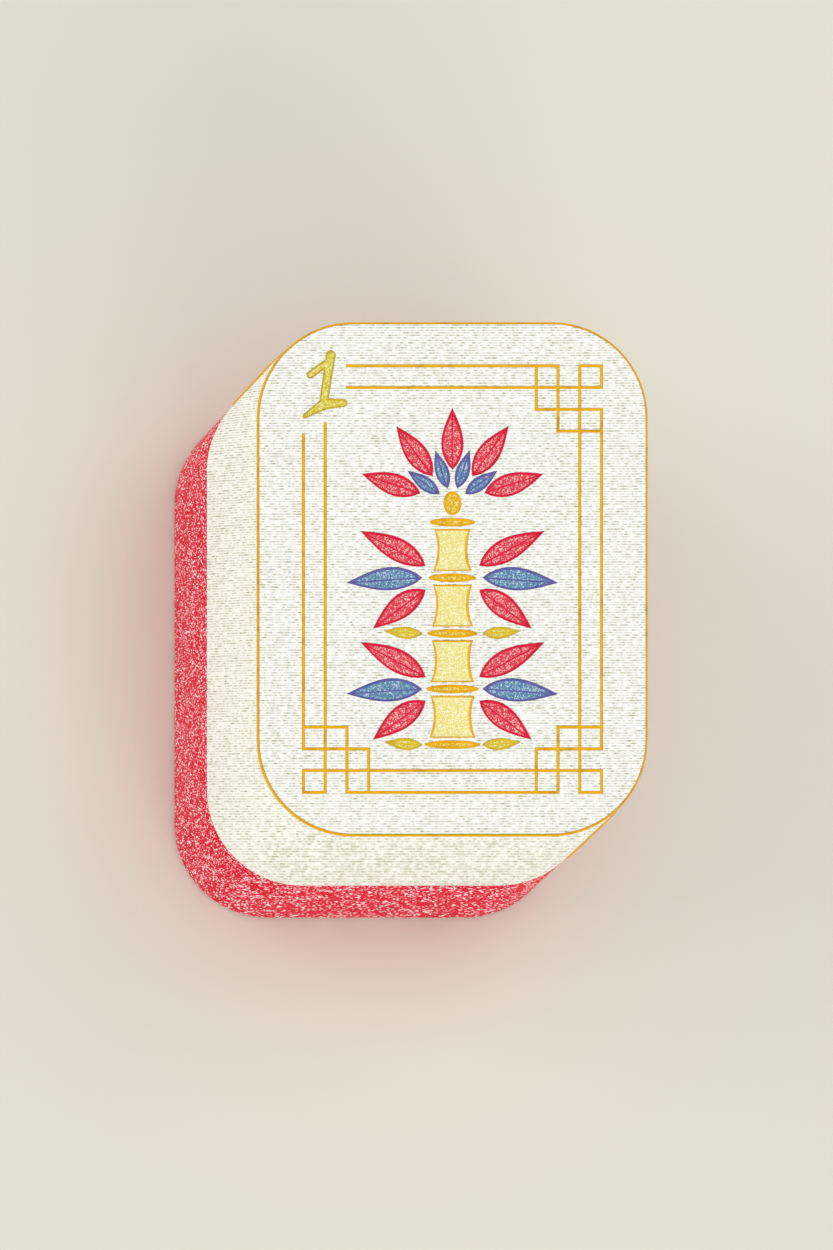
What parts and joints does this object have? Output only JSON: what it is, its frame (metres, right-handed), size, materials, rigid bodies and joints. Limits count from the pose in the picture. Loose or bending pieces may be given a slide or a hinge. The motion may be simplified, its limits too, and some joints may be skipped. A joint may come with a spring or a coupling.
{
  "type": "mahjong tile",
  "caption": "Round-cornered game tile: an engraved, paint-filled white face block with a numeral, fret border and bamboo emblem, bonded to a red back block.",
  "frame": {"origin": "centre of the tile's underside, the red back, on which it lies face up", "axes": "+X to the right across the face, +Y towards the face's top edge, +Z out of the face"},
  "size_m": [0.0228, 0.03, 0.016],
  "materials": {
    "white_plastic": "satin moulded ivory-white resin with a fine thread-like grain",
    "red_plastic": "satin grained red resin",
    "bond": "set cement",
    "gold_paint": "satin golden-yellow enamel",
    "red_paint": "grained red paint with a darker outline",
    "blue_paint": "grained blue paint with a darker outline",
    "cream_paint": "grained pale yellow paint with a gold outline",
    "amber_paint": "grained amber paint with a gold outline",
    "lime_paint": "grained yellow-green paint with a gold outline"
  },
  "bodies": {
    "root": {"back_block": "red_plastic", "bond_film": "bond", "face_block": "white_plastic", "rim_line": "gold_paint", "corner_line_top_left": "gold_paint", "corner_line_bottom_right": "gold_paint", "fret_border": "gold_paint", "numeral_outline": "gold_paint", "numeral_fill": "lime_paint", "cane_ring_1": "amber_paint", "cane_ring_2": "amber_paint", "cane_ring_3": "amber_paint", "cane_ring_4": "amber_paint", "cane_ring_5": "amber_paint", "cane_segment_1": "cream_paint", "cane_segment_2": "cream_paint", "cane_segment_3": "cream_paint", "cane_segment_4": "cream_paint", "crown_bud": "amber_paint", "crown_red_leaf_1": "red_paint", "crown_red_leaf_2": "red_paint", "crown_red_leaf_3": "red_paint", "crown_red_leaf_4": "red_paint", "crown_red_leaf_5": "red_paint", "crown_blue_leaf_1": "blue_paint", "crown_blue_leaf_2": "blue_paint", "crown_blue_leaf_3": "blue_paint", "crown_blue_leaf_4": "blue_paint", "lower_left_red_leaf_1": "red_paint", "lower_left_blue_leaf_2": "blue_paint", "lower_left_red_leaf_3": "red_paint", "upper_left_red_leaf_1": "red_paint", "upper_left_blue_leaf_2": "blue_paint", "upper_left_red_leaf_3": "red_paint", "base_left_shoot": "lime_paint", "middle_left_shoot": "lime_paint", "lower_right_red_leaf_1": "red_paint", "lower_right_blue_leaf_2": "blue_paint", "lower_right_red_leaf_3": "red_paint", "upper_right_red_leaf_1": "red_paint", "upper_right_blue_leaf_2": "blue_paint", "upper_right_red_leaf_3": "red_paint", "base_right_shoot": "lime_paint", "middle_right_shoot": "lime_paint"}
  },
  "joints": []
}
